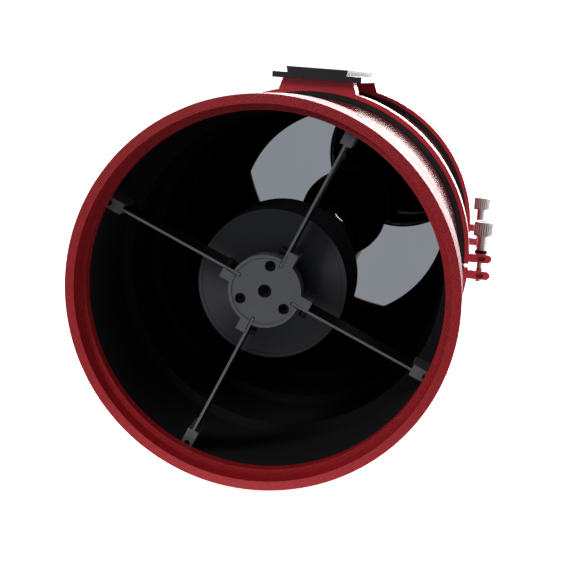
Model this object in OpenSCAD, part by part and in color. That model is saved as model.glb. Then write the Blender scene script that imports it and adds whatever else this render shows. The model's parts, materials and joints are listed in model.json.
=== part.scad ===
// Optical tube of a two-mirror Cassegrain reflector with cradle rings.
// Origin: centre of the dovetail bar's upper face. +Z up, the tube looks along -Y.
// Inside the modules the optical axis is the Y axis and y = 0 is the front rim;
// place() moves that layout to the origin above.

/* [Tube] */
// Outer radius of the rolled tube
tube_r = 114.75; // [90:0.25:160]
// Wall thickness of the tube
tube_wall = 1.4; // [0.8:0.1:3]
// Length from the front rim to the back plate
tube_len = 506; // [420:1:700]
// How far both end rings stand out beyond the tube
end_ring_out = 4.25; // [2:0.25:10]
// Width of the front end ring along the tube
front_skirt = 50; // [30:1:70]
// Depth of the front recess in the front end ring
rim_depth = 11; // [6:0.5:16]
// How far the front flange reaches in from the tube's inner wall
flange_reach = 3.95; // [2:0.05:10]
// Thickness of the front flange
flange_t = 7.5; // [4:0.5:12]
// Width of the rear end ring along the tube
rear_skirt = 30; // [20:1:50]
// Number of light stops inside the tube
stop_count = 5; // [2:1:9]
// How far the light stops reach in from the tube's inner wall
stop_reach = 7.35; // [3:0.05:15]

/* [Mirrors] */
// Radius of the primary mirror blank
primary_r = 101.5; // [75:0.5:160]
// Distance of the primary mirror's front edge from the rear end of the tube
primary_inset = 42; // [36:1:80]
// Thickness of the primary mirror at its edge
primary_t = 26; // [15:1:45]
// Radius of curvature of the primary mirror
primary_roc = 1220; // [800:10:3000]
// Radius of the hole in the primary mirror
primary_hole_r = 36; // [20:0.5:50]
// How far the retaining ring covers the primary's edge
retainer_lip = 2.9; // [1:0.1:6]
// Outer radius of the light baffle at its front end
baffle_tip_r = 29; // [18:0.5:40]
// Length of the light baffle in front of the mirror
baffle_len = 182; // [80:1:260]
// Bore radius of the knife-edge rings inside the light baffle
knife_bore_r = 22.5; // [14:0.5:26]
// How far the baffle's collar covers the mirror round its hole
collar_lip = 4; // [2:0.5:12]
// Radius of the secondary mirror
secondary_r = 44; // [25:0.5:70]
// Radius of curvature of the secondary mirror
secondary_roc = 700; // [300:10:3000]

/* [Spider] */
// Radius of the spider hub
hub_r = 22.5; // [14:0.5:35]
// Distance of the hub's front face from the front rim
hub_y = 21; // [19:0.5:40]
// Thickness of the hub disc
hub_t = 12; // [8:0.5:20]
// Thickness of one vane
vane_t = 1.5; // [0.8:0.1:3]
// Depth of one vane along the tube
vane_depth = 24; // [12:1:30]
// Relief beside each vane at the front of its slot
slot_relief = 0.45; // [0.1:0.05:1]
// Length of that relief
slot_relief_len = 9.4; // [6:0.1:11]
// Sideways offset of the vanes from the hub's centre
vane_offset = 1.5; // [0:0.1:4]
// Direction of the first vane
vane_angle = 66.5; // [45:0.5:90]
// Radius of the three adjusting screw holes in the hub
adjust_hole_r = 3.4; // [2:0.1:5]
// Radius of the circle of the adjusting screws
adjust_circle_r = 15.9; // [9:0.1:20]
// Direction of the first adjusting screw
adjust_angle = 81.5; // [60:0.5:120]
// Radius of the hole in the middle of the hub
hub_hole_r = 4.2; // [2:0.1:6]
// Room between the secondary mirror and the front of its shield
shield_room = 3.3; // [2:0.1:10]
// How much wider the secondary shield is at its rear end
shield_flare = 2.4; // [0.5:0.1:8]
// Distance of the shield's front face from the front rim
shield_y = 49; // [44:0.5:70]
// Length of the secondary shield
shield_len = 46; // [30:1:80]

/* [Cradle rings] */
// Front face of the front cradle ring
ring_a_y = 197; // [120:1:260]
// Front face of the rear cradle ring
ring_b_y = 384; // [300:1:460]
// Width of one cradle ring along the tube
ring_w = 22; // [14:1:35]
// Radial thickness of a cradle ring
ring_t = 3.2; // [2.5:0.1:8]
// Thickness of the felt lining
felt_t = 3.7; // [1:0.1:6]
// Gap between the two clamp ears
ear_gap = 6.2; // [3:0.2:12]
// Thickness of one clamp ear
ear_t = 6.2; // [4:0.2:12]
// Reach of the clamp ears beyond the ring
ear_reach = 16.2; // [12:0.2:26]
// Height of the split between the ring halves above the axis
split_z = 1; // [-4:0.5:4]
// Half width of the mounting pad at its top
pad_half = 25.9; // [18:0.1:40]
// Rise of the mounting pad's face above the ring
pad_rise = 5.15; // [3:0.05:20]
// Radius of the hinge pin
pin_r = 2.5; // [1.5:0.1:4]
// Radius of the hinge knuckles
knuckle_r = 6; // [4:0.1:9]

/* [Clamp screws] */
// Radius of the clamp screw
screw_r = 2; // [1.5:0.1:4]
// Radius of the knurled head
knob_r = 6.9; // [5:0.1:10]
// Height of the knurled head
knob_h = 10.5; // [6:0.5:16]
// Radius of the neck below the head
neck_r = 3.6; // [2.6:0.1:5]
// Length of the neck below the head
neck_h = 10.9; // [4:0.1:16]
// Thickness of the washer
washer_t = 1.7; // [0.6:0.1:3]
// Radius of the washer
washer_r = 4.6; // [4:0.1:8]

/* [Dovetail bar] */
// Half width of the bar's base plate
plate_half = 32.5; // [25:0.5:60]
// Thickness of the base plate
plate_t = 4.2; // [3:0.1:10]
// Half width of the dovetail at its face
dovetail_half = 22.5; // [15:0.1:50]
// Height of the dovetail above the plate
dovetail_h = 4.3; // [3:0.1:15]
// How far the dovetail's flanks lean in at the foot
dovetail_lean = 0.9; // [0.3:0.1:5]
// Front end of the bar
bar_y0 = 187; // [100:1:230]
// Rear end of the bar
bar_y1 = 402; // [340:1:520]
// Distance between the two tapped holes in the bar
tap_space = 60; // [40:1:120]
// Radius of the tapped holes
tap_r = 2.55; // [1.6:0.05:4]

/* [Focuser] */
// Bore radius of the drawtube, for two-inch accessories
draw_bore_r = 25.4; // [20:0.1:30]
// Wall thickness of the drawtube
draw_wall = 3.6; // [3:0.1:6]
// Length of the drawtube
draw_len = 74; // [50:1:120]
// Running gap between the drawtube and the housing
draw_gap = 0.3; // [0.2:0.05:0.6]
// Length of the focuser housing
housing_len = 52; // [35:1:80]
// Wall of the square focuser housing round the drawtube
housing_wall = 7.7; // [6.5:0.1:15]
// Radius of the focusing shaft
shaft_r = 2; // [1.5:0.1:4]
// Radius of the coarse focusing wheels
wheel_r = 17; // [10:0.5:25]
// Width of the coarse focusing wheels
wheel_w = 12; // [8:0.5:20]
// Radius of the fine focusing wheel
fine_r = 11; // [7:0.5:16]

/* [Hidden] */
$fn = 96;
tube_in = tube_r - tube_wall;
end_ring_r = tube_r + end_ring_out;
flange_bore_r = tube_in - flange_reach;
stop_bore_r = tube_in - stop_reach;
primary_y = tube_len - primary_inset;
retainer_r = primary_r - retainer_lip;
collar_r = primary_hole_r + collar_lip;
shield_front_r = secondary_r + shield_room;
shield_rear_r = shield_front_r + shield_flare;
draw_r = draw_bore_r + draw_wall;
housing_half = draw_r + draw_gap + housing_wall;
fit = 0.05;
slack = 0.3;
liner_t = 0.6;
liner_in = tube_in - liner_t;
back_y = tube_len;
plate_back_t = 8;
rear_face = back_y + plate_back_t;
half_gap = 1.5;
bar_mid = (bar_y0 + bar_y1) / 2;
felt_in = tube_r + slack;
ring_in = felt_in + felt_t;
ring_out = ring_in + ring_t;
pad_top = ring_out + pad_rise;
bar_top = pad_top + plate_t + dovetail_h;
ear_end = ring_out + ear_reach;
ear_x = ring_out + 8.2;
hinge_x = -(ring_out + knuckle_r + 1);
bolt_y = [ring_a_y + ring_w / 2, ring_b_y + ring_w / 2];
bolt_x = 14;
flange_y1 = rim_depth + flange_t;
baffle_foot_r = primary_hole_r - 4.1;
baffle_in = baffle_foot_r - 2.4;
cell_r = primary_r + 6;
cell_floor = 8;
primary_back = primary_y + primary_t;
cell_back = primary_back + 1 + cell_floor;
sag = primary_roc - sqrt(primary_roc * primary_roc - primary_r * primary_r);
collar_sag = primary_roc - sqrt(primary_roc * primary_roc - collar_r * collar_r);
shield_wall = 1.2;
carrier_y = shield_y + shield_wall;
carrier_t = 8;
secondary_y = carrier_y + carrier_t;
vane_dirs = [vane_angle, vane_angle + 90, vane_angle + 180, vane_angle + 270];
vane_side = [-1, -1, 1, 1];
lug_side = [-1, 1, -1, 1];
screw_at = hub_r + 4.4;
block_in = flange_bore_r - 8.6;
block_out = liner_in - 0.25;
vane_out = block_in + 5;
lug_out = hub_r + 6.4;
housing_y0 = rear_face + 10;
housing_y1 = housing_y0 + housing_len;
draw_y0 = housing_y1 + 14 - draw_len;
shaft_z = -(draw_r + shaft_r - 1.4);
shaft_y = housing_y0 + housing_len / 2;
wheel_x = housing_half + 5;

// Moves the optical layout so that the bar's upper face is at the origin.
module place() {
  translate([0, -bar_mid, -bar_top])
    children();
}

// Turns local +Z into +Y, starting at y0.
module along(y0) {
  translate([0, y0, 0])
    rotate([-90, 0, 0])
      children();
}

// Extrudes a profile drawn in X and Z along Y from y0 over w.
module slab(y0, w) {
  translate([0, y0 + w, 0])
    rotate([90, 0, 0])
      linear_extrude(w)
        children();
}

// Disc or cylinder along Y.
module rod_y(y0, y1, r) {
  along(y0)
    cylinder(h = y1 - y0, r = r);
}

// Tube along Y.
module pipe_y(y0, y1, r_out, r_in) {
  difference() {
    rod_y(y0, y1, r_out);
    rod_y(y0 - 1, y1 + 1, r_in);
  }
}

// Turns a feature to a direction around the optical axis, 0 = +X, 90 = +Z.
module at_dir(a) {
  rotate([0, -a, 0])
    children();
}

// Radial cylinder along local +X from r0 to r1 at y.
module spoke(y, r0, r1, r) {
  translate([r0, y, 0])
    rotate([0, 90, 0])
      cylinder(h = r1 - r0, r = r, $fn = 32);
}

// ---- tube and end rings ----

module front_ring() {
  color("#80202a")
    place()
      difference() {
        rod_y(0, front_skirt, end_ring_r);
        rod_y(-1, rim_depth, tube_in);
        rod_y(rim_depth - 1, flange_y1 + 1, flange_bore_r);
        rod_y(flange_y1, front_skirt + 1, tube_r + fit);
        for (a = vane_dirs)
          at_dir(a)
            spoke(hub_y + 13, tube_r - 2, end_ring_r + 1, 2.6);
      }
}

module tube() {
  color("#b01820")
    place()
      difference() {
        pipe_y(flange_y1, back_y, tube_r, tube_in);
        for (a = vane_dirs)
          at_dir(a)
            spoke(hub_y + 13, tube_in - 2, tube_r + 2, 2.6);
      }
}

module light_stops() {
  stop_y0 = front_skirt + 50;
  stop_step = (primary_y - 60 - stop_y0) / (stop_count - 1);
  color("#0d0d0f")
    place()
      union() {
        difference() {
          pipe_y(flange_y1 + 0.05, primary_y - 6, tube_in - 0.02, liner_in);
          for (a = vane_dirs)
            at_dir(a)
              spoke(hub_y + 13, liner_in - 2, tube_r, 2.6);
        }
        for (i = [0 : stop_count - 1])
          pipe_y(stop_y0 + i * stop_step, stop_y0 + i * stop_step + 1.2, tube_in - 0.1, stop_bore_r);
      }
}

module rear_ring() {
  color("#80202a")
    place()
      difference() {
        rod_y(back_y - rear_skirt, rear_face - 2, end_ring_r);
        rod_y(back_y - rear_skirt - 1, back_y, tube_r + fit);
        rod_y(back_y - 1, rear_face, end_ring_r - 6);
        for (a = [30 : 60 : 330])
          at_dir(a)
            spoke(back_y - 12, tube_r - 1, end_ring_r + 1, 1.6);
      }
}

module back_plate() {
  color("#17181b")
    place()
      difference() {
        rod_y(back_y + 0.01, rear_face, end_ring_r - 6 - fit);
        rod_y(back_y - 1, rear_face + 1, baffle_foot_r + fit);
        for (a = [30 : 120 : 270]) {
          at_dir(a)
            translate([66, 0, 0])
              rod_y(back_y - 1, rear_face + 1, 3.2);
          at_dir(a + 14)
            translate([66, 0, 0])
              rod_y(back_y - 1, rear_face + 1, 2.2);
        }
        for (a = [0 : 45 : 315])
          at_dir(a)
            translate([92, 0, 0])
              rod_y(back_y - 1, rear_face + 1, 11);
      }
}

module rear_ring_screws() {
  color("#2a2b2e")
    place()
      for (a = [30 : 60 : 330])
        at_dir(a)
          spoke(back_y - 12, tube_r + 0.3, end_ring_r - 0.2, 1.55);
}

// ---- primary mirror and its cell ----

module mirror_cell() {
  color("#121214")
    place()
      difference() {
        rod_y(primary_y - 1, cell_back, cell_r);
        rod_y(primary_y - 2, primary_back + 1, primary_r + 0.5);
        rod_y(primary_y, cell_back + 1, 33);
        for (a = [30 : 120 : 270])
          at_dir(a)
            translate([66, 0, 0])
              rod_y(primary_back + 2, cell_back + 1, 2.5);
      }
}

module primary_mirror() {
  color("#cfd4d8")
    place()
      difference() {
        rod_y(primary_y, primary_back, primary_r);
        rod_y(primary_y - 1, primary_back + 1, primary_hole_r);
        translate([0, primary_y + sag - primary_roc, 0])
          rotate([-90, 0, 0])
            sphere(r = primary_roc, $fn = 200);
      }
}

module mirror_retainer() {
  color("#0f0f11")
    place()
      pipe_y(primary_y - 3.5, primary_y - 1.02, cell_r, retainer_r);
}

module mirror_rest() {
  color("#1c1c1e")
    place()
      pipe_y(primary_back, primary_back + 1, primary_r - 4, 60);
}

module baffle_collar() {
  color("#101012")
    place()
      difference() {
        union() {
          rod_y(primary_y - 4, primary_y + sag + 1.5, collar_r);
          rod_y(primary_y, primary_back, primary_hole_r - 0.5);
        }
        rod_y(primary_y - 10, primary_back + 1, baffle_foot_r + 0.1);
        along(primary_y + sag - collar_sag - 0.02)
          difference() {
            cylinder(h = 30, r = collar_r + 5);
            translate([0, 0, -1])
              cylinder(h = 40, r = primary_hole_r - 0.5);
          }
      }
}

module primary_baffle() {
  tip_y = primary_y - baffle_len;
  color("#151517")
    place()
      difference() {
        union() {
          along(tip_y)
            cylinder(h = baffle_len - 4, r1 = baffle_tip_r, r2 = baffle_foot_r);
          rod_y(primary_y - 4.5, rear_face, baffle_foot_r);
          for (i = [0 : 2])
            rod_y(tip_y + 14 + i * 26, tip_y + 16 + i * 26, baffle_tip_r + 2.4);
        }
        difference() {
          union() {
            along(tip_y - 1)
              cylinder(h = baffle_len + 2, r1 = baffle_tip_r - 1.5, r2 = baffle_in);
            rod_y(primary_y - 1, rear_face + 1, baffle_in);
          }
          for (i = [0 : 3])
            pipe_y(tip_y + 6 + i * 58, tip_y + 7 + i * 58, baffle_foot_r, knife_bore_r);
        }
      }
}

module pull_screws() {
  color("#b9bcc0")
    place()
      for (a = [30 : 120 : 270])
        at_dir(a)
          translate([66, 0, 0])
            union() {
              rod_y(primary_back + 2.5, rear_face, 2.45);
              difference() {
                rod_y(rear_face, rear_face + 5, 5);
                rod_y(rear_face + 2, rear_face + 6, 2);
              }
            }
}

module push_screws() {
  color("#2a2b2e")
    place()
      for (a = [30 : 120 : 270])
        at_dir(a + 14)
          translate([66, 0, 0])
            difference() {
              rod_y(cell_back + 0.02, rear_face + 1.5, 2.15);
              rod_y(rear_face, rear_face + 2, 1.1);
            }
}

// ---- spider and secondary ----

// One lug of the hub, beside a vane that runs out along +X.
module hub_lug(side) {
  translate([hub_r - 1.7, hub_y, side > 0 ? 0 : -(6 + vane_t / 2)])
    cube([lug_out - hub_r + 1.7, vane_depth, 6 + vane_t / 2]);
}

module spider_hub() {
  color("#8d8f92")
    place()
      difference() {
        union() {
          rod_y(hub_y, hub_y + hub_t, hub_r);
          for (i = [0 : 3])
            at_dir(vane_dirs[i])
              translate([0, 0, vane_side[i] * vane_offset])
                hub_lug(lug_side[i]);
        }
        rod_y(hub_y - 1, hub_y + 0.8, hub_r - 1.9);
        rod_y(hub_y - 1, hub_y + hub_t + 1, hub_hole_r);
        for (k = [0 : 2])
          at_dir(adjust_angle + 120 * k)
            translate([adjust_circle_r, 0, 0])
              rod_y(hub_y - 1, hub_y + hub_t + 1, adjust_hole_r);
        for (i = [0 : 3])
          at_dir(vane_dirs[i])
            translate([hub_r - 4.5, hub_y - 1, vane_side[i] * vane_offset - vane_t / 2 - fit])
              cube([lug_out, vane_depth + 3, vane_t + 2 * fit]);
        for (i = [0 : 3])
          at_dir(vane_dirs[i])
            translate([hub_r - 5.2, hub_y - 1, vane_side[i] * vane_offset - vane_t / 2 - slot_relief])
              cube([slot_relief_len, 2.7, vane_t + 2 * slot_relief]);
        for (i = [0 : 3])
          at_dir(vane_dirs[i])
            translate([screw_at, hub_y + 6, vane_side[i] * vane_offset])
              cylinder(h = 30, r = 1.3, center = true, $fn = 32);
      }
}

module spider_vanes() {
  color("#9a9c9f")
    place()
      for (i = [0 : 3])
        at_dir(vane_dirs[i])
          difference() {
            translate([hub_r - 4.4, hub_y + 1, vane_side[i] * vane_offset - vane_t / 2])
              cube([vane_out - hub_r + 4.4, vane_depth - 1, vane_t]);
            translate([screw_at, hub_y + 6, vane_side[i] * vane_offset])
              cylinder(h = 30, r = 1.3, center = true, $fn = 32);
          }
}

module vane_blocks() {
  color("#77797c")
    place()
      for (i = [0 : 3])
        at_dir(vane_dirs[i])
          difference() {
            translate([block_in, hub_y + 1, vane_side[i] * vane_offset - 3.6])
              cube([block_out - block_in, vane_depth - 1, 7.2]);
            translate([block_in - 1, hub_y, vane_side[i] * vane_offset - vane_t / 2 - fit])
              cube([6.1, vane_depth + 2, vane_t + 2 * fit]);
            spoke(hub_y + 13, block_out - 5, block_out + 1, 2.1);
            translate([block_in + 9, hub_y, vane_side[i] * vane_offset])
              rod_y(0, 4, 1.7);
          }
}

module vane_end_screws() {
  color("#a01c22")
    place()
      for (a = vane_dirs)
        at_dir(a)
          union() {
            spoke(hub_y + 13, block_out - 4.9, tube_r, 2.05);
            spoke(hub_y + 13, tube_r + 0.06, end_ring_r - 0.2, 2.5);
            spoke(hub_y + 13, tube_r - 0.5, tube_r + 0.5, 2.05);
          }
}

module vane_block_screws() {
  color("#3a3b3d")
    place()
      for (i = [0 : 3])
        at_dir(vane_dirs[i])
          translate([block_in + 9, hub_y, vane_side[i] * vane_offset])
            difference() {
              rod_y(0.2, 3.9, 1.65);
              translate([-2, 0, -0.3])
                cube([4, 0.8, 0.6]);
            }
}

module hub_screws() {
  color("#55565a")
    place()
      for (i = [0 : 3])
        at_dir(vane_dirs[i])
          translate([screw_at, hub_y + 6, vane_side[i] * vane_offset])
            mirror([0, 0, lug_side[i] > 0 ? 1 : 0])
              union() {
                translate([0, 0, -5.5])
                  cylinder(h = 6.25, r = 1.25, $fn = 32);
                translate([0, 0, vane_t / 2 + fit])
                  cylinder(h = 4.4, r = 2.4, $fn = 32);
                translate([0, 0, 0.4])
                  cylinder(h = 1, r = 1.25, $fn = 32);
              }
}

module centre_bolt() {
  color("#1a1a1c")
    place()
      difference() {
        union() {
          rod_y(hub_y + 5, hub_y + hub_t + 6, 4);
          rod_y(hub_y + hub_t, carrier_y + 5, 2.9);
        }
        rod_y(hub_y, hub_y + 8, 2);
      }
}

module adjust_screws() {
  color("#1a1a1c")
    place()
      for (k = [0 : 2])
        at_dir(adjust_angle + 120 * k)
          translate([adjust_circle_r, 0, 0])
            difference() {
              rod_y(hub_y + 4, carrier_y, 2.5);
              rod_y(hub_y, hub_y + 7, 1.3);
            }
}

module secondary_carrier() {
  color("#1a1a1c")
    place()
      difference() {
        union() {
          rod_y(carrier_y, carrier_y + carrier_t, secondary_r - 2);
          rod_y(shield_y - 2, carrier_y, 21);
        }
        rod_y(shield_y - 3, carrier_y + 5.2, 2.95);
        for (k = [0 : 2])
          at_dir(adjust_angle + 120 * k)
            translate([adjust_circle_r, 0, 0])
              rod_y(shield_y - 3, carrier_y, 2.6);
      }
}

module secondary_shield() {
  color("#3c3d44")
    place()
      difference() {
        along(shield_y)
          cylinder(h = shield_len, r1 = shield_front_r, r2 = shield_rear_r);
        along(shield_y + shield_wall)
          cylinder(h = shield_len, r1 = shield_front_r - shield_wall, r2 = shield_rear_r - shield_wall);
        rod_y(shield_y - 1, shield_y + shield_wall + 1, 21 + fit);
        along(shield_y - 1)
          difference() {
            cylinder(h = 1.4, r = shield_front_r - 2.2);
            translate([0, 0, -1])
              cylinder(h = 3, r = shield_front_r - 3.2);
          }
      }
}

module secondary_mirror() {
  color("#cfd4d8")
    place()
      intersection() {
        rod_y(secondary_y, secondary_y + 14, secondary_r);
        translate([0, secondary_y + 13 - secondary_roc, 0])
          rotate([-90, 0, 0])
            sphere(r = secondary_roc, $fn = 200);
      }
}

// ---- cradle rings ----

// Outline of one half ring with its pad, kept above the height cut_z.
module half_outline(cut_z) {
  difference() {
    union() {
      circle(r = ring_out);
      polygon([[-pad_half - 2.8, ring_in], [pad_half + 2.8, ring_in], [pad_half, pad_top], [-pad_half, pad_top]]);
    }
    circle(r = ring_in);
    translate([-2 * ring_out, -2 * ring_out])
      square([4 * ring_out, 2 * ring_out + cut_z]);
  }
}

// The clamp ear, drawn from the ring outwards with its lower face at z0.
module ear_outline(z0) {
  polygon([
    [ring_in + 0.8, z0], [ear_end - 2, z0], [ear_end, z0 + 2],
    [ear_end, z0 + ear_t - 2], [ear_end - 2, z0 + ear_t], [ring_in + 0.6, z0 + ear_t]
  ]);
}

// Recess in the front face of an ear.
module ear_recess(y0, z) {
  for (dx = [-1 : 1])
    translate([ear_x + 0.6 + dx, 0, z])
      rod_y(y0 - 1, y0 + 4, 1.9);
}

module upper_half(y0) {
  color("#c83240")
    place()
      difference() {
        union() {
          slab(y0, ring_w)
            half_outline(split_z + half_gap);
          slab(y0, ring_w)
            difference() {
              ear_outline(split_z + ear_gap / 2);
              circle(r = ring_in);
            }
          for (k = [0, 1])
            slab(y0 + k * (ring_w - 6), 6)
              difference() {
                union() {
                  translate([hinge_x, split_z])
                    circle(r = knuckle_r);
                  polygon([[hinge_x, split_z], [hinge_x - 3, split_z + 5.2], [-ring_out + 1, split_z + 17],
                    [-ring_in - 0.8, split_z + 2]]);
                }
                circle(r = ring_in);
              }
        }
        translate([hinge_x, 0, split_z])
          rod_y(y0 - 1, y0 + ring_w + 1, pin_r);
        translate([ear_x, y0 + ring_w / 2, split_z])
          cylinder(h = 30, r = screw_r + 0.35, $fn = 48);
        ear_recess(y0, split_z + ear_gap / 2 + ear_t / 2);
        for (s = [-1, 1])
          translate([s * bolt_x, y0 + ring_w / 2, pad_top - 9])
            cylinder(h = 10, r = 3.05, $fn = 48);
      }
}

module lower_half(y0) {
  color("#c83240")
    place()
      difference() {
        union() {
          slab(y0, ring_w)
            mirror([0, 1])
              half_outline(half_gap - split_z);
          slab(y0, ring_w)
            difference() {
              ear_outline(split_z - ear_gap / 2 - ear_t);
              circle(r = ring_in);
            }
          slab(y0 + 6 + slack, ring_w - 12 - 2 * slack)
            difference() {
              union() {
                translate([hinge_x, split_z])
                  circle(r = knuckle_r);
                polygon([[hinge_x, split_z], [hinge_x - 3, split_z - 5.2], [-ring_out + 1, split_z - 17],
                  [-ring_in - 0.8, split_z - 2]]);
              }
              circle(r = ring_in);
            }
        }
        translate([hinge_x, 0, split_z])
          rod_y(y0 - 1, y0 + ring_w + 1, pin_r + fit);
        for (k = [0, 1])
          translate([hinge_x, 0, split_z])
            rod_y(y0 - 1 + k * (ring_w - 6 - slack + 1), y0 + 6 + slack + k * (ring_w - 6 - slack + 1), knuckle_r + 0.6);
        translate([ear_x, y0 + ring_w / 2, split_z - 30])
          cylinder(h = 30, r = screw_r + 0.6, $fn = 48);
        ear_recess(y0, split_z - ear_gap / 2 - ear_t / 2);
      }
}

// Felt lining between the tube and a half ring; up = 1 above the split, -1 below.
module felt_half(y0, up) {
  cut = half_gap + up * split_z;
  color("#141415")
    place()
      slab(y0 + 0.5, ring_w - 1)
        mirror([0, up > 0 ? 0 : 1])
          difference() {
            circle(r = ring_in);
            circle(r = felt_in);
            translate([-2 * ring_out, -2 * ring_out])
              square([4 * ring_out, 2 * ring_out + cut]);
          }
}

module cradle_front_upper() {
  upper_half(ring_a_y);
}

module cradle_rear_upper() {
  upper_half(ring_b_y);
}

module cradle_front_lower() {
  lower_half(ring_a_y);
}

module cradle_rear_lower() {
  lower_half(ring_b_y);
}

module felt_front_upper() {
  felt_half(ring_a_y, 1);
}

module felt_rear_upper() {
  felt_half(ring_b_y, 1);
}

module felt_front_lower() {
  felt_half(ring_a_y, -1);
}

module felt_rear_lower() {
  felt_half(ring_b_y, -1);
}

module hinge_pins() {
  color("#9b9da0")
    place()
      for (y0 = [ring_a_y, ring_b_y])
        translate([hinge_x, 0, split_z])
          union() {
            rod_y(y0 - 0.8, y0 + ring_w + 0.8, pin_r);
            rod_y(y0 - 1.8, y0 - 0.4, pin_r + 1.2);
            rod_y(y0 + ring_w + 0.4, y0 + ring_w + 1.8, pin_r + 1.2);
          }
}

// Knurled clamp screw, axis along Z through the ears.
module clamp_screw(y0) {
  z_ear = split_z + ear_gap / 2 + ear_t + washer_t + 0.1;
  color("#c9cccf")
    place()
      translate([ear_x, y0 + ring_w / 2, 0])
        difference() {
          union() {
            translate([0, 0, split_z - ear_gap / 2 - ear_t - 3])
              cylinder(h = 12 + 2 * ear_t + ear_gap, r = screw_r, $fn = 48);
            translate([0, 0, z_ear])
              cylinder(h = neck_h, r = neck_r, $fn = 48);
            translate([0, 0, z_ear + neck_h])
              cylinder(h = knob_h, r = knob_r, $fn = 64);
          }
          for (i = [0 : 23])
            rotate([0, 0, i * 15])
              translate([knob_r + 0.35, 0, z_ear + neck_h + 1.2])
                cylinder(h = knob_h - 2.4, r = 0.8, $fn = 16);
          translate([0, 0, z_ear + neck_h + knob_h - 0.8])
            cylinder(h = 2, r = knob_r - 2, $fn = 48);
        }
}

module clamp_screw_front() {
  clamp_screw(ring_a_y);
}

module clamp_screw_rear() {
  clamp_screw(ring_b_y);
}

module clamp_washers() {
  color("#1b1c1e")
    place()
      for (y0 = [ring_a_y, ring_b_y])
        translate([ear_x, y0 + ring_w / 2, split_z + ear_gap / 2 + ear_t])
          difference() {
            cylinder(h = washer_t, r = washer_r, $fn = 48);
            translate([0, 0, -1])
              cylinder(h = 5, r = screw_r + 0.35, $fn = 48);
          }
}

// ---- dovetail bar ----

module dovetail_bar() {
  plate_top = pad_top + plate_t;
  color("#2c2d30")
    place()
      difference() {
        slab(bar_y0, bar_y1 - bar_y0)
          polygon([
            [-plate_half, pad_top], [plate_half, pad_top], [plate_half, plate_top],
            [dovetail_half - dovetail_lean, plate_top], [dovetail_half, bar_top],
            [-dovetail_half, bar_top], [-dovetail_half + dovetail_lean, plate_top],
            [-plate_half, plate_top]
          ]);
        for (y = bolt_y)
          for (s = [-1, 1])
            translate([s * bolt_x, y, 0]) {
              translate([0, 0, pad_top - 1])
                cylinder(h = 20, r = 3.2, $fn = 48);
              translate([0, 0, bar_top - 5.5])
                cylinder(h = 20, r = 5.4, $fn = 48);
            }
        for (s = [-1, 1])
          translate([0, bar_mid + s * tap_space / 2, pad_top - 1])
            cylinder(h = 20, r = tap_r, $fn = 48);
      }
}

module bar_bolts() {
  color("#232427")
    place()
      for (y = bolt_y)
        for (s = [-1, 1])
          translate([s * bolt_x, y, 0])
            difference() {
              union() {
                translate([0, 0, pad_top - 8])
                  cylinder(h = bar_top - pad_top + 4, r = 3, $fn = 48);
                translate([0, 0, bar_top - 5.5])
                  cylinder(h = 5.1, r = 5, $fn = 48);
              }
              translate([0, 0, bar_top - 3.4])
                cylinder(h = 6, r = 2.9, $fn = 6);
            }
}

// ---- focuser ----

module focuser_base() {
  color("#17181b")
    place()
      difference() {
        union() {
          rod_y(rear_face, rear_face + 4, 50);
          rod_y(rear_face, housing_y0, 42);
        }
        rod_y(rear_face - 1, rear_face + 1.2, baffle_in + 0.4);
        rod_y(rear_face + 1.1, housing_y0 + 1, draw_r + draw_gap + 0.6);
        for (a = [30 : 120 : 270])
          at_dir(a)
            translate([66, 0, 0])
              rod_y(rear_face - 1, rear_face + 9, 6);
      }
}

module focuser_body() {
  color("#1c1d20")
    place()
      difference() {
        union() {
          slab(housing_y0, housing_len)
            polygon([
              [-housing_half, -housing_half + 9], [-housing_half + 9, -housing_half],
              [housing_half - 9, -housing_half], [housing_half, -housing_half + 9],
              [housing_half, housing_half - 9], [housing_half - 9, housing_half],
              [-housing_half + 9, housing_half], [-housing_half, housing_half - 9]
            ]);
        }
        rod_y(housing_y0 - 1, housing_y1 + 1, draw_r + draw_gap);
        translate([0, shaft_y, shaft_z])
          rotate([0, 90, 0])
            cylinder(h = 4 * housing_half, r = shaft_r + fit, center = true, $fn = 48);
        translate([-8, housing_y0 + 8, -draw_r - 6])
          cube([16, housing_len - 16, 9]);
        translate([0, housing_y0 + 12, -housing_half - 1])
          cylinder(h = 16, r = 2.6, $fn = 48);
        translate([0, housing_y0 + 12, housing_half - 12])
          cylinder(h = 16, r = 2.6, $fn = 48);
      }
}

module drawtube() {
  color("#9a9da1")
    place()
      difference() {
        union() {
          rod_y(draw_y0, housing_y1 + 14, draw_r);
          rod_y(housing_y1 + 2, housing_y1 + 16, draw_r + 6);
        }
        rod_y(draw_y0 - 1, housing_y1 + 20, draw_bore_r);
        rod_y(housing_y1 + 7, housing_y1 + 11, draw_bore_r + 1.3);
        translate([-20, draw_y0 - 1, -draw_r - 4])
          cube([40, housing_y1 - draw_y0 + 2.9, 5.4]);
        for (a = [35, 145])
          at_dir(a)
            spoke(housing_y1 + 9, draw_bore_r - 1, draw_r + 8, 2.1);
      }
}

module drawtube_clamp_ring() {
  color("#b08d45")
    place()
      difference() {
        pipe_y(housing_y1 + 7.05, housing_y1 + 10.95, draw_bore_r + 1.2, draw_bore_r + 0.02);
        translate([-1, housing_y1 + 5, -draw_r - 3])
          cube([2, 8, 10]);
      }
}

// Thumb screw along local +X whose tip is at r0.
module thumb(y, r0, len, r) {
  union() {
    spoke(y, r0, r0 + len, r);
    spoke(y, r0 + len - 0.1, r0 + len + 7, 4.6);
  }
}

module eyepiece_screw_left() {
  color("#c9cccf")
    place()
      at_dir(145)
        thumb(housing_y1 + 9, draw_bore_r + 1.25, 12, 2.05);
}

module eyepiece_screw_right() {
  color("#c9cccf")
    place()
      at_dir(35)
        thumb(housing_y1 + 9, draw_bore_r + 1.25, 12, 2.05);
}

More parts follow.
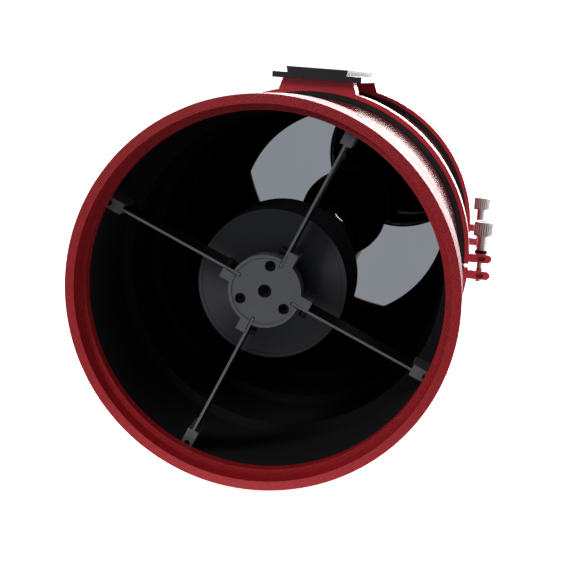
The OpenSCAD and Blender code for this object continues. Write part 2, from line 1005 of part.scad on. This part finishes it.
module focus_lock_screw() {
  color("#c9cccf")
    place()
      at_dir(90)
        thumb(housing_y0 + 12, draw_r + draw_gap + 0.3, 11, 2.5);
}

module focus_tension_screw() {
  color("#c9cccf")
    place()
      at_dir(270)
        thumb(housing_y0 + 12, draw_r + draw_gap + 2.2, 9, 2.5);
}

// Wheel on the focusing shaft with its inner face at x0.
module wheel(x0, w, r) {
  translate([x0, shaft_y, shaft_z])
    rotate([0, 90, 0])
      difference() {
        union() {
          cylinder(h = w, r = r, $fn = 96);
          translate([0, 0, -3])
            cylinder(h = 4, r = 8, $fn = 48);
        }
        for (i = [0 : 17])
          rotate([0, 0, i * 20])
            translate([r + 1.2, 0, 2])
              cylinder(h = w - 4, r = 2, $fn = 24);
      }
}

module focus_shaft() {
  color("#b9bcc0")
    place()
      translate([-wheel_x - 5, shaft_y, shaft_z])
        rotate([0, 90, 0])
          cylinder(h = 2 * wheel_x + 4, r = shaft_r, $fn = 48);
}

module coarse_wheels() {
  color("#2c2d30")
    place()
      union() {
        difference() {
          wheel(wheel_x, wheel_w, wheel_r);
          translate([0, shaft_y, shaft_z])
            rotate([0, 90, 0])
              cylinder(h = wheel_x - 0.98, r = shaft_r + 0.01, $fn = 48);
        }
        difference() {
          mirror([1, 0, 0])
            wheel(wheel_x, wheel_w, wheel_r);
          translate([0, shaft_y, shaft_z])
            rotate([0, -90, 0])
              cylinder(h = wheel_x + 5, r = shaft_r + 0.01, $fn = 48);
        }
      }
}

module fine_wheel() {
  color("#b9bcc0")
    place()
      translate([wheel_x + wheel_w + 1, shaft_y, shaft_z])
        rotate([0, 90, 0])
          difference() {
            cylinder(h = 8, r = fine_r, $fn = 96);
            for (i = [0 : 23])
              rotate([0, 0, i * 15])
                translate([fine_r + 0.5, 0, 1])
                  cylinder(h = 6, r = 1, $fn = 16);
          }
}

front_ring();
tube();
light_stops();
rear_ring();
back_plate();
rear_ring_screws();
mirror_cell();
primary_mirror();
mirror_retainer();
mirror_rest();
baffle_collar();
primary_baffle();
pull_screws();
push_screws();
spider_hub();
spider_vanes();
vane_blocks();
vane_end_screws();
vane_block_screws();
hub_screws();
centre_bolt();
adjust_screws();
secondary_carrier();
secondary_shield();
secondary_mirror();
cradle_front_upper();
cradle_rear_upper();
cradle_front_lower();
cradle_rear_lower();
felt_front_upper();
felt_rear_upper();
felt_front_lower();
felt_rear_lower();
hinge_pins();
clamp_screw_front();
clamp_screw_rear();
clamp_washers();
dovetail_bar();
bar_bolts();
focuser_base();
focuser_body();
drawtube();
drawtube_clamp_ring();
eyepiece_screw_left();
eyepiece_screw_right();
focus_lock_screw();
focus_tension_screw();
focus_shaft();
coarse_wheels();
fine_wheel();
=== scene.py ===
# %% [markdown]
# # A Cassegrain telescope tube in two hinged rings
#
# This lesson dresses a finished CAD model of a bare telescope: a red enamelled tube, two
# hinged clamp rings on a mounting bar, a four-vane spider with its secondary mirror, a
# concave main mirror deep inside, and a focuser on the back. The shapes come in from CAD.
# Blender adds the finishes, the two polished mirrors, a smooth tube, light and a camera.

# %% Load the fixed frame
import json
import math

import bmesh
import bpy
from mathutils import Matrix, Vector


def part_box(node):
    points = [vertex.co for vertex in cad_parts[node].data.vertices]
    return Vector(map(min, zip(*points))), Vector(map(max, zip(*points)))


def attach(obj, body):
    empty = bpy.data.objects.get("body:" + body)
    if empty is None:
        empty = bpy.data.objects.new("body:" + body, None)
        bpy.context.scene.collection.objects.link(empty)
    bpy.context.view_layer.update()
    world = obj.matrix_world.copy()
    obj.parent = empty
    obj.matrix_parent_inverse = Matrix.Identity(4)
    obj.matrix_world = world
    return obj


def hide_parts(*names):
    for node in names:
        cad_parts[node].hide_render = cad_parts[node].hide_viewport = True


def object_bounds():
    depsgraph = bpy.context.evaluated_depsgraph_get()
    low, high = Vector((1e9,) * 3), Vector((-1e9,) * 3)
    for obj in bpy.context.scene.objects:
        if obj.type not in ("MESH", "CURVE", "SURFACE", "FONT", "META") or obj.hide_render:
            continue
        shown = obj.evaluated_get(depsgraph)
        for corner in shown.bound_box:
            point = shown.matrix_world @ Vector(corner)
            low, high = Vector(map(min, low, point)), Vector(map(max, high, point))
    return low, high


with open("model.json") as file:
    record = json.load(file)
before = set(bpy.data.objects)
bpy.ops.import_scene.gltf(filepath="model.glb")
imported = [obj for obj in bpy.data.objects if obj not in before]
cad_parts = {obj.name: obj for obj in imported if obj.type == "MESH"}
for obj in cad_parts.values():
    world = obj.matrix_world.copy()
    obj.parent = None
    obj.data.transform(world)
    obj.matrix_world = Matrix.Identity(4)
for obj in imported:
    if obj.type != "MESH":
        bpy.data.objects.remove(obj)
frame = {"nodes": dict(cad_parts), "record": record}
cad_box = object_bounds()
MM = 0.001  # one millimetre in Blender's metres

print("CAD box in mm:", [[round(v / MM, 1) for v in corner] for corner in cad_box])

# %% [markdown]
# ## Where the tube is
#
# Every place in this lesson is measured from the CAD nodes, so the script follows the model.
# The tube's axis runs along Y. The front ring gives its centre line and its open end, which
# looks along -Y.

# %% Measure the tube
ring_low, ring_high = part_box("front_ring")
tube_low, tube_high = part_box("tube")
axis_x = (tube_low.x + tube_high.x) / 2
axis_z = (tube_low.z + tube_high.z) / 2
rim_y = ring_low.y
tube_r = (tube_high.x - tube_low.x) / 2


def on_axis(y):
    """The point of the optical axis at that depth."""
    return Vector((axis_x, y, axis_z))


print("tube radius in mm:", round(tube_r / MM, 2))

# %% [markdown]
# ## The camera
#
# The tube is seen from in front, a little from its right and a little from above, with a
# short telephoto lens. A camera looks along its own -Z, so its three axes are worked out
# from the heading, the tilt and the small roll, and set as one matrix.

# %% Place the camera
CAMERA_FROM_RIM = Vector((113.9, -686.3, 134.9)) * MM
HEADING, TILT, ROLL = math.radians(7.94), math.radians(10.48), math.radians(4.36)
LENS_MM, SENSOR_MM = 74.61, 36.0

look = Vector((
    -math.sin(HEADING) * math.cos(TILT),
    math.cos(HEADING) * math.cos(TILT),
    -math.sin(TILT),
))
level_right = look.cross(Vector((0, 0, 1))).normalized()
level_up = level_right.cross(look)
right = level_right * math.cos(ROLL) + level_up * math.sin(ROLL)
up = level_up * math.cos(ROLL) - level_right * math.sin(ROLL)

camera_data = bpy.data.cameras.new("camera")
camera_data.lens, camera_data.sensor_width = LENS_MM, SENSOR_MM
camera = bpy.data.objects.new("camera", camera_data)
bpy.context.scene.collection.objects.link(camera)
turn = Matrix((right, up, -look)).transposed().to_4x4()
camera.matrix_world = Matrix.Translation(on_axis(rim_y) + CAMERA_FROM_RIM) @ turn
bpy.context.scene.camera = camera
print("camera at", [round(v, 3) for v in camera.location])

# %% [markdown]
# ## Colours and nodes
#
# Paint and metal colours are written as sRGB hex values, as on a colour card, but Blender
# mixes light in linear values. One function does the change. Another adds a shader node,
# gives it its settings, and joins its inputs to the nodes before it.

# %% The two helpers for every finish
SRGB_KNEE, SRGB_SLOPE, SRGB_LIFT, SRGB_GAMMA = 0.04045, 12.92, 0.055, 2.4


def linear(hex_colour):
    """A colour such as "c81e28" as linear red, green, blue and alpha."""
    parts = [int(hex_colour[i:i + 2], 16) / 255 for i in (0, 2, 4)]
    return (*[
        part / SRGB_SLOPE if part <= SRGB_KNEE
        else ((part + SRGB_LIFT) / (1 + SRGB_LIFT)) ** SRGB_GAMMA
        for part in parts
    ], 1.0)


def add(tree, kind, inputs=None, **settings):
    """Adds one shader node. An input is a plain value, or (another node, its output)."""
    made = tree.nodes.new("ShaderNode" + kind)
    for name, value in settings.items():
        setattr(made, name, value)
    for socket, value in (inputs or {}).items():
        if isinstance(value, tuple) and isinstance(value[0], bpy.types.Node):
            tree.links.new(value[0].outputs[value[1]], made.inputs[socket])
        else:
            made.inputs[socket].default_value = value
    return made


print("signal red in linear values:", [round(v, 3) for v in linear("c81e28")])

# %% [markdown]
# ## The studio
#
# A glossy tube shows its surroundings more than its own colour, so the light is planned
# first. Beside the tube stands a white studio, and behind it a far brighter wall, which
# turns the enamel white where it is seen at a grazing angle. In front there is only a dim
# bluish grey room, which is what the concave mirror throws back at the viewer. One broad
# lamp from the upper left shapes the spider. The world shader picks its brightness from the
# direction along Y.

# %% Light the studio
bpy.context.scene.view_settings.view_transform = "Standard"
ROOM_GREY, STUDIO_WHITE = "8f9397", "ffffff"
ROOM_LEVEL, STUDIO_LEVEL, BACKDROP_LEVEL = 1.0, 1.3, 1.15
ROOM_ENDS_AT, STUDIO_STARTS_AT = -0.35, 0.12
WALL_STARTS_AT, WALL_FULL_AT, WALL_LEVEL = 0.7, 0.93, 7.0

world = bpy.data.worlds.new("studio")
bpy.context.scene.world = world
world.use_nodes = True
studio = world.node_tree
studio.nodes.clear()
heading = add(studio, "SeparateXYZ", {"Vector": (add(studio, "TexCoord"), "Generated")})
frontness = add(studio, "MapRange", {
    "Value": (heading, "Y"), "From Min": ROOM_ENDS_AT, "From Max": STUDIO_STARTS_AT,
}, interpolation_type="SMOOTHSTEP")
room = add(studio, "Background", {"Color": linear(ROOM_GREY), "Strength": ROOM_LEVEL})
wall = add(studio, "MapRange", {
    "Value": (heading, "Y"), "From Min": WALL_STARTS_AT, "From Max": WALL_FULL_AT,
    "To Min": STUDIO_LEVEL, "To Max": WALL_LEVEL,
}, interpolation_type="SMOOTHSTEP")
white = add(studio, "Background", {
    "Color": linear(STUDIO_WHITE), "Strength": (wall, "Result"),
})
around = add(studio, "MixShader", {0: (frontness, "Result"), 1: (room, 0), 2: (white, 0)})
backdrop = add(studio, "Background", {
    "Color": linear(STUDIO_WHITE), "Strength": BACKDROP_LEVEL,
})
seen = add(studio, "LightPath")
shown = add(studio, "MixShader", {
    0: (seen, "Is Camera Ray"), 1: (around, 0), 2: (backdrop, 0),
})
add(studio, "OutputWorld", {"Surface": (shown, 0)})

LAMP_FROM_RIM = Vector((-0.75, -1.15, 0.85))
LAMP_WATTS, LAMP_SIZE = 14.0, 0.5
lamp_data = bpy.data.lights.new("key_lamp", "AREA")
lamp_data.energy, lamp_data.size = LAMP_WATTS, LAMP_SIZE
lamp = bpy.data.objects.new("key_lamp", lamp_data)
bpy.context.scene.collection.objects.link(lamp)
lamp.location = on_axis(rim_y) + LAMP_FROM_RIM
lamp.rotation_euler = (-LAMP_FROM_RIM).to_track_quat("-Z", "Y").to_euler()
print("lamp at", [round(v, 2) for v in lamp.location])

# %% [markdown]
# ## The floor
#
# A plain pale floor lies at the height of the feet of the two clamp rings. It is a little
# self-lit, as a white sweep that is lit from below would be, so only a faint shadow stays.
# The light that it throws onto the tube and into the mirror follows the studio's plan:
# bright under and behind the tube, and dim in front, where the mirror looks.

# %% Lay the floor
FLOOR_SIZE, FLOOR_GLOW, FLOOR_LIGHT, FLOOR_DIMS_OVER = 12.0, 0.85, 1.8, 0.2
PAPER_WHITE, PAPER_ROUGHNESS = "f4f4f4", 0.9
floor_mesh = bpy.data.meshes.new("floor")
half = FLOOR_SIZE / 2
floor_z = cad_box[0].z
floor_mesh.from_pydata(
    [(x, y, floor_z) for x, y in ((-half, -half), (half, -half), (half, half), (-half, half))],
    [], [(0, 1, 2, 3)],
)
floor = bpy.data.objects.new("floor", floor_mesh)
bpy.context.scene.collection.objects.link(floor)
sweep = bpy.data.materials.new("white paper sweep")
sweep.use_nodes = True
paper = sweep.node_tree
paper.nodes.clear()
place = add(paper, "SeparateXYZ", {"Vector": (add(paper, "TexCoord"), "Object")})
depth = add(paper, "MapRange", {
    "Value": (place, "Y"), "From Min": rim_y - FLOOR_DIMS_OVER, "From Max": rim_y,
}, interpolation_type="SMOOTHSTEP")
dim = add(paper, "Emission", {"Color": linear(ROOM_GREY), "Strength": ROOM_LEVEL})
bright = add(paper, "Emission", {"Color": linear(STUDIO_WHITE), "Strength": FLOOR_LIGHT})
thrown = add(paper, "MixShader", {0: (depth, "Result"), 1: (dim, 0), 2: (bright, 0)})
shown = add(paper, "BsdfPrincipled", {
    "Base Color": linear(PAPER_WHITE), "Roughness": PAPER_ROUGHNESS,
    "Emission Color": linear(STUDIO_WHITE), "Emission Strength": FLOOR_GLOW,
})
either = add(paper, "MixShader", {
    0: (add(paper, "LightPath"), "Is Camera Ray"), 1: (thrown, 0), 2: (shown, 0),
})
add(paper, "OutputMaterial", {"Surface": (either, 0)})
floor_mesh.materials.append(sweep)
print("floor at z in mm:", round(floor_z / MM, 1))

# %% [markdown]
# ## A blank finish to start from
#
# Each finish is one Principled shader. Its pattern is laid out in the piece's own
# coordinates, in metres, so a grain of one millimetre has a scale of a thousand. A fine
# noise gives the paint or metal its grain: it wanders between two close colours, changes
# the roughness a little, and raises the surface by a few hundredths of a millimetre.

# %% A grained finish
GRAIN_DETAIL, CLOUD_MM = 3.0, 45.0


def start_finish(name):
    """A new material with its tree, its Principled shader and its own coordinates."""
    finish = bpy.data.materials.new(name)
    finish.use_nodes = True
    tree = finish.node_tree
    tree.nodes.clear()
    surface = add(tree, "BsdfPrincipled")
    add(tree, "OutputMaterial", {"Surface": (surface, "BSDF")})
    return finish, tree, surface, (add(tree, "TexCoord"), "Object")


def tint(tree, surface, factor, dark, light):
    """Lets the base colour wander between two hex colours."""
    colours = add(tree, "Mix", {
        0: factor, 6: linear(dark), 7: linear(light),
    }, data_type="RGBA")
    tree.links.new(colours.outputs[2], surface.inputs["Base Color"])


def spread(tree, surface, socket, factor, low, high):
    """Lets one value of the shader run from low to high with a pattern."""
    span = add(tree, "MapRange", {"Value": factor, "To Min": low, "To Max": high})
    tree.links.new(span.outputs["Result"], surface.inputs[socket])


def grained(name, dark, light, roughness, grain_mm, height_mm, metallic=0.0, **sockets):
    """Paint, plastic or metal with an even grain. roughness is (least, most)."""
    finish, tree, surface, place = start_finish(name)
    fine = (add(tree, "TexNoise", {
        "Vector": place, "Scale": 1 / (grain_mm * MM), "Detail": GRAIN_DETAIL,
    }), 0)
    cloud = (add(tree, "TexNoise", {"Vector": place, "Scale": 1 / (CLOUD_MM * MM)}), 0)
    tint(tree, surface, fine, dark, light)
    spread(tree, surface, "Roughness", cloud, *roughness)
    raised = add(tree, "Bump", {"Height": fine, "Distance": height_mm * MM})
    tree.links.new(raised.outputs[0], surface.inputs["Normal"])
    surface.inputs["Metallic"].default_value = metallic
    for socket, value in sockets.items():
        surface.inputs[socket.replace("_", " ")].default_value = value
    return finish


def blacken(finish, keep, black):
    """Makes a finish black where keep is 0, and leaves it as it is where keep is 1."""
    tree = finish.node_tree
    surface = next(n for n in tree.nodes if n.type == "BSDF_PRINCIPLED")
    colour = surface.inputs["Base Color"]
    mixed = add(tree, "Mix", {0: keep, 6: linear(black)}, data_type="RGBA")
    tree.links.new(colour.links[0].from_socket, mixed.inputs[7])
    tree.links.new(mixed.outputs[2], colour)
    return surface


finishes = {}
print("blank finish ready")

# %% [markdown]
# ## Paint
#
# The end rings wear a wrinkle enamel, which dries into fine hard folds about a millimetre
# apart, so it glitters but never mirrors. The rolled tube is sprayed with a gloss enamel
# under a clear coat, smooth apart from a faint orange peel of some millimetres. The clamp
# rings are powder coated: melted powder leaves a satin skin with a fine grain. The inside
# of the tube is painted dead matt black to swallow stray light.

# %% Paint finishes
finishes["ring_red"] = grained(
    "wrinkle enamel, burgundy", "4c060b", "b4161f", (0.4, 0.55), grain_mm=1.1,
    height_mm=0.4, Specular_IOR_Level=0.3,
)
finishes["tube_red"] = grained(
    "gloss enamel, signal red", "9c0c18", "a8101c", (0.12, 0.2), grain_mm=6.0,
    height_mm=0.002, Coat_Weight=1.0, Coat_Roughness=0.06,
)
finishes["cradle_red"] = grained(
    "satin powder coat, signal red", "b01626", "bd1c2c", (0.28, 0.38), grain_mm=0.9,
    height_mm=0.02, Coat_Weight=0.3, Coat_Roughness=0.2,
)
finishes["screw_red"] = grained(
    "enamelled screw heads", "8f0f1a", "a31622", (0.3, 0.4), grain_mm=0.8, height_mm=0.02,
)
finishes["matt_black"] = grained(
    "dead matt blackening", "161618", "202022", (0.85, 0.95), grain_mm=0.7,
    height_mm=0.04, Specular_IOR_Level=0.05,
)
print(len(finishes), "paints")

# %% [markdown]
# ## Anodised aluminium
#
# Anodising grows a hard, slightly dull oxide skin on aluminium, dyed black or grey. The
# dyed skin hides the metal, so it is darker and less metallic than bare aluminium. The
# milled bar and the focuser have the fine even grain of bead blasting. The hub is left
# plain grey.

# %% Anodised finishes
finishes["black_anodised"] = grained(
    "black anodised aluminium", "141416", "1c1c1f", (0.34, 0.44), grain_mm=0.6,
    height_mm=0.015, metallic=0.5,
)
finishes["bar_black"] = grained(
    "black anodised bar, bead blasted", "18191b", "222326", (0.36, 0.46), grain_mm=0.7,
    height_mm=0.02, metallic=0.4,
)
finishes["hub_grey"] = grained(
    "grey anodised casting", "4c4d50", "5a5b5e", (0.45, 0.55), grain_mm=0.6,
    height_mm=0.02, metallic=0.5,
)
finishes["block_grey"] = grained(
    "grey anodised blocks", "55565a", "646569", (0.4, 0.5), grain_mm=0.6,
    height_mm=0.02, metallic=0.5,
)
finishes["alu_clear"] = grained(
    "clear anodised aluminium", "b4b6ba", "c4c6ca", (0.25, 0.35), grain_mm=0.6,
    height_mm=0.01, metallic=1.0, Specular_IOR_Level=0.0,
)
print(len(finishes), "finishes so far")

# %% [markdown]
# ## The drawtube's blackened bore
#
# The drawtube is clear anodised outside, where the rollers run, but its bore is blackened,
# or it would shine into the eyepiece. The bore is told from the outside by its distance
# from the optical axis.

# %% Blacken the bore
BORE_R_MM, BORE_BLEND_MM = 27.2, 0.2
BORE_ROUGHNESS, CLEAR_ROUGHNESS = 0.95, 0.3
ACROSS_AXIS = (1.0, 0.0, 1.0)
tree = finishes["alu_clear"].node_tree
from_axis = add(tree, "VectorMath", {
    0: (add(tree, "TexCoord"), "Object"), 1: on_axis(0.0),
}, operation="SUBTRACT")
flat = add(tree, "VectorMath", {0: (from_axis, 0), 1: ACROSS_AXIS}, operation="MULTIPLY")
reach = add(tree, "VectorMath", {0: (flat, 0)}, operation="LENGTH")
outside = add(tree, "MapRange", {
    "Value": (reach, "Value"), "From Min": (BORE_R_MM - BORE_BLEND_MM) * MM,
    "From Max": BORE_R_MM * MM,
})
surface = blacken(finishes["alu_clear"], (outside, "Result"), "101011")
spread(tree, surface, "Roughness", (outside, "Result"), BORE_ROUGHNESS, CLEAR_ROUGHNESS)
spread(tree, surface, "Metallic", (outside, "Result"), 0.0, 1.0)
print("bore blackened inside a radius of", BORE_R_MM, "mm")

# %% [markdown]
# ## The turned secondary shield
#
# The dish behind the hub is turned on a lathe and anodised dark grey. The tool leaves fine
# circles, a few tenths of a millimetre apart, which spread each highlight across them. So
# the shader is anisotropic, with its tangent running round the Y axis, and a fine set of
# rings, drawn coarser than the real tool marks so that they show, breaks the light.

# %% Turned finish
TOOL_MARK_MM, TOOL_MARK_DEPTH_MM = 0.9, 0.004
TURNED_STRETCH, TURNED_METALLIC, TURNED_ROUGHNESS = 0.7, 0.6, 0.42
WAVE_TURN = 2 * math.pi / 20  # a wave texture of scale 1 repeats after this many metres
finish, tree, surface, place = start_finish("dark grey anodised, lathe turned")
centred = (add(tree, "Mapping", {"Vector": place, "Location": -on_axis(0.0)}), 0)
circles = (add(tree, "TexWave", {
    "Vector": centred, "Scale": WAVE_TURN / (TOOL_MARK_MM * MM),
    "Distortion": 0.0, "Detail": 0.0,
}, wave_type="RINGS", rings_direction="Y"), 1)
tint(tree, surface, circles, "26262a", "2f2f34")
raised = add(tree, "Bump", {"Height": circles, "Distance": TOOL_MARK_DEPTH_MM * MM})
tree.links.new(raised.outputs[0], surface.inputs["Normal"])
around_axis = add(tree, "Tangent", direction_type="RADIAL", axis="Y")
tree.links.new(around_axis.outputs[0], surface.inputs["Tangent"])
surface.inputs["Anisotropic"].default_value = TURNED_STRETCH
surface.inputs["Metallic"].default_value = TURNED_METALLIC
surface.inputs["Roughness"].default_value = TURNED_ROUGHNESS
finishes["shield_grey"] = finish
print(finish.name, "made")

# %% [markdown]
# ## Steel, nickel and brass
#
# The vanes are spring steel, ground bare on their thin front edges. Their flanks, which face
# across the tube, are made near black as painted shade. The small screws are blackened or
# bright steel, the knurled heads
# are nickel plated, and the ring in the drawtube is brass gone dull with age. Metals keep
# their default IOR: their colour is in the base colour, and the finish in the roughness.

# %% Metal finishes
FLANK_SHADE_TURN = (0.4, 0.7)
finishes["vane_steel"] = grained(
    "spring steel, ground edge, painted shade on flanks", "56575a", "696a6d", (0.4, 0.5),
    grain_mm=0.9, height_mm=0.01, metallic=0.6,
)
# Painted shade: faces whose normal points across the tube, the vane flanks, are made near
# black; only faces looking along the tube keep the steel grey.
tree = finishes["vane_steel"].node_tree
facing = add(tree, "SeparateXYZ", {"Vector": (add(tree, "TexCoord"), "Normal")})
along_tube = add(tree, "Math", {0: (facing, "Y")}, operation="ABSOLUTE")
unshaded_edge = add(tree, "MapRange", {
    "Value": (along_tube, 0), "From Min": FLANK_SHADE_TURN[0], "From Max": FLANK_SHADE_TURN[1],
})
blacken(finishes["vane_steel"], (unshaded_edge, "Result"), "0b0b0c")
finishes["black_steel"] = grained(
    "blackened steel", "0c0c0d", "141416", (0.45, 0.6), grain_mm=0.7, height_mm=0.01,
    metallic=0.8,
)
finishes["bright_steel"] = grained(
    "bright steel", "a9abae", "b8babd", (0.22, 0.32), grain_mm=0.7, height_mm=0.01,
    metallic=1.0,
)
finishes["nickel"] = grained(
    "nickel plate, satin", "b9b6b2", "c9c6c2", (0.25, 0.35), grain_mm=0.5,
    height_mm=0.01, metallic=1.0,
)
finishes["brass_plain"] = grained(
    "aged turned brass", "453818", "52431f", (0.4, 0.5), grain_mm=0.6, height_mm=0.01,
    metallic=1.0,
)
print(len(finishes), "finishes so far")

# %% [markdown]
# ## Soft linings
#
# The clamp rings are lined with pressed wool felt, whose fibres scatter light softly. The
# focusing wheels have moulded rubber grips.

# %% Felt and rubber
finishes["felt"] = grained(
    "pressed wool felt, black", "0c0c0d", "1d1d1f", (0.92, 0.98), grain_mm=0.5,
    height_mm=0.25, Sheen_Weight=0.25, Sheen_Roughness=0.5,
)
finishes["rubber_black"] = grained(
    "moulded nitrile rubber", "101011", "18181a", (0.6, 0.7), grain_mm=0.5,
    height_mm=0.03,
)
print(len(finishes), "finishes so far")

# %% [markdown]
# ## Mirror glass
#
# A telescope mirror is glass with aluminium evaporated on its front. The film reflects
# about nine tenths of the light, very slightly blue, and is polished far below anything
# the eye can see. Only a trace of dust, in wide soft clouds, takes the hardness off.

# %% Aluminised glass
DUST_MM, DUST_ROUGHNESS = 60.0, 0.012
finish, tree, surface, place = start_finish("aluminised glass")
dust = (add(tree, "TexNoise", {"Vector": place, "Scale": 1 / (DUST_MM * MM)}), 0)
tint(tree, surface, dust, "e4e8ec", "eceff2")
spread(tree, surface, "Roughness", dust, 0.0, DUST_ROUGHNESS)
surface.inputs["Metallic"].default_value = 1.0
finishes["mirror_glass"] = finish
print("mirror finish made")

# %% [markdown]
# ## Dress the CAD nodes
#
# The record names one finish slot for each node, so one loop dresses them all.

# %% Dress every node
slot_of = {p["node"]: p["material_slot"] for p in frame["record"]["subparts"]}
for name, piece in frame["nodes"].items():
    finish = finishes[slot_of[name]]
    if piece.data.materials:
        for number in range(len(piece.material_slots)):
            piece.material_slots[number].link = "OBJECT"
            piece.material_slots[number].material = finish
    else:
        piece.data.materials.append(finish)
print("dressed", len(frame["nodes"]), "nodes")

# %% [markdown]
# ## Smooth mirrors
#
# A CAD mesh is made of flat facets, and in a mirror even a tiny step shows. So both
# mirrors are spun again as parts of fine spheres: a profile of radii and depths is turned
# round the axis, with rows close enough to shade as one polished curve.

# %% Spin a profile round the axis
def spun(name, profile, turns):
    """A closed surface: profile is a loop of (radius, depth along Y) points."""
    count = len(profile)
    points = [
        (axis_x + r * math.cos(a), y, axis_z + r * math.sin(a))
        for a in (2 * math.pi * t / turns for t in range(turns))
        for r, y in profile
    ]
    faces = [
        (t * count + i, t * count + (i + 1) % count,
         (t + 1) % turns * count + (i + 1) % count, (t + 1) % turns * count + i)
        for t in range(turns) for i in range(count)
    ]
    mesh = bpy.data.meshes.new(name)
    mesh.from_pydata(points, [], faces)
    mesh.validate()
    mesh.update()
    made = bpy.data.objects.new(name, mesh)
    bpy.context.scene.collection.objects.link(made)
    return made


def radii(node):
    """The least and greatest distance of a node's points from the optical axis."""
    far = [math.hypot(v.co.x - axis_x, v.co.z - axis_z)
           for v in frame["nodes"][node].data.vertices]
    return min(far), max(far)


print("mirror spans in mm:", [round(r / MM, 2) for r in radii("primary_mirror")])

# %% The main mirror
PRIMARY_CURVE, SECONDARY_CURVE = 1220 * MM, 700 * MM
MIRROR_ROWS, MIRROR_TURNS = 48, 360


def sag(r, curve):
    """How far a sphere of that radius of curvature falls back at distance r."""
    return curve - math.sqrt(curve ** 2 - r ** 2)


hole_r, edge_r = radii("primary_mirror")
mirror_low, mirror_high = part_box("primary_mirror")
steps = [hole_r + (edge_r - hole_r) * i / MIRROR_ROWS for i in range(MIRROR_ROWS + 1)]
face_bottom = mirror_low.y + sag(edge_r, PRIMARY_CURVE)
face = [(r, face_bottom - sag(r, PRIMARY_CURVE)) for r in steps]
main_mirror = spun(
    "main_mirror", [*face, (edge_r, mirror_high.y), (hole_r, mirror_high.y)], MIRROR_TURNS,
)
print("main mirror face is", round(sag(edge_r, PRIMARY_CURVE) / MM, 2), "mm deep")

# %% The secondary mirror, and both into their places
_, small_r = radii("secondary_mirror")
small_low, small_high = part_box("secondary_mirror")
steps = [small_r * i / MIRROR_ROWS for i in range(MIRROR_ROWS + 1)]
dome = [(r, small_high.y - sag(r, SECONDARY_CURVE)) for r in steps]
small_mirror = spun(
    "small_mirror", [*dome, (small_r, small_low.y), (0.0, small_low.y)], MIRROR_TURNS,
)

SHARP_ANGLE, SAME_POINT = math.radians(35), 1e-7


def tidy_and_smooth(piece):
    """Joins doubled points, turns every face outwards, and keeps only real edges sharp."""
    shape = bmesh.new()
    shape.from_mesh(piece.data)
    bmesh.ops.remove_doubles(shape, verts=shape.verts, dist=SAME_POINT)
    bmesh.ops.recalc_face_normals(shape, faces=shape.faces)
    shape.to_mesh(piece.data)
    shape.free()
    piece.data.shade_smooth()
    piece.data.set_sharp_from_angle(angle=SHARP_ANGLE)


def stand_in(piece, node):
    """The piece takes the node's place on the optical tube, with the node's finish."""
    tidy_and_smooth(piece)
    piece.data.materials.append(finishes[slot_of[node]])
    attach(piece, "optical_tube")
    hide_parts(node)
    print(piece.name, len(piece.data.polygons), "faces")


stand_in(main_mirror, "primary_mirror")
stand_in(small_mirror, "secondary_mirror")

# %% [markdown]
# ## The rolled tube
#
# The tube is sheet metal rolled and welded, and its gloss enamel mirrors the studio along
# its whole length, so its shading has to be as smooth as the mirrors'. It is spun from
# four corners. The small screw holes at its front lie under the end ring and aren't needed.

# %% Spin the tube
inner_r, outer_r = radii("tube")
skin = [
    (inner_r, tube_low.y), (outer_r, tube_low.y), (outer_r, tube_high.y),
    (inner_r, tube_high.y),
]
stand_in(spun("rolled_tube", skin, MIRROR_TURNS), "tube")

# %% [markdown]
# ## Broken edges
#
# Nobody leaves a knife edge on a milled part. A small rounding catches a thin line of
# light, and it is that line that makes a metal edge look real. The weld joins the points
# that the CAD export had split, so that the bevel can find the edges.

# %% Round the milled edges
EDGE_MM = {
    "cradle_front_upper": 0.4, "cradle_rear_upper": 0.4, "cradle_front_lower": 0.4,
    "cradle_rear_lower": 0.4, "dovetail_bar": 0.3, "vane_blocks": 0.2,
}
WELD_MM, EDGE_ANGLE, EDGE_ROWS = 0.002, math.radians(40), 2
for name, radius in EDGE_MM.items():
    piece = frame["nodes"][name]
    weld = piece.modifiers.new("weld", "WELD")
    weld.merge_threshold = WELD_MM * MM
    edge = piece.modifiers.new("broken edge", "BEVEL")
    edge.width, edge.segments = radius * MM, EDGE_ROWS
    edge.limit_method, edge.angle_limit = "ANGLE", EDGE_ANGLE
    edge.harden_normals = True
print("rounded the edges of", len(EDGE_MM), "pieces")
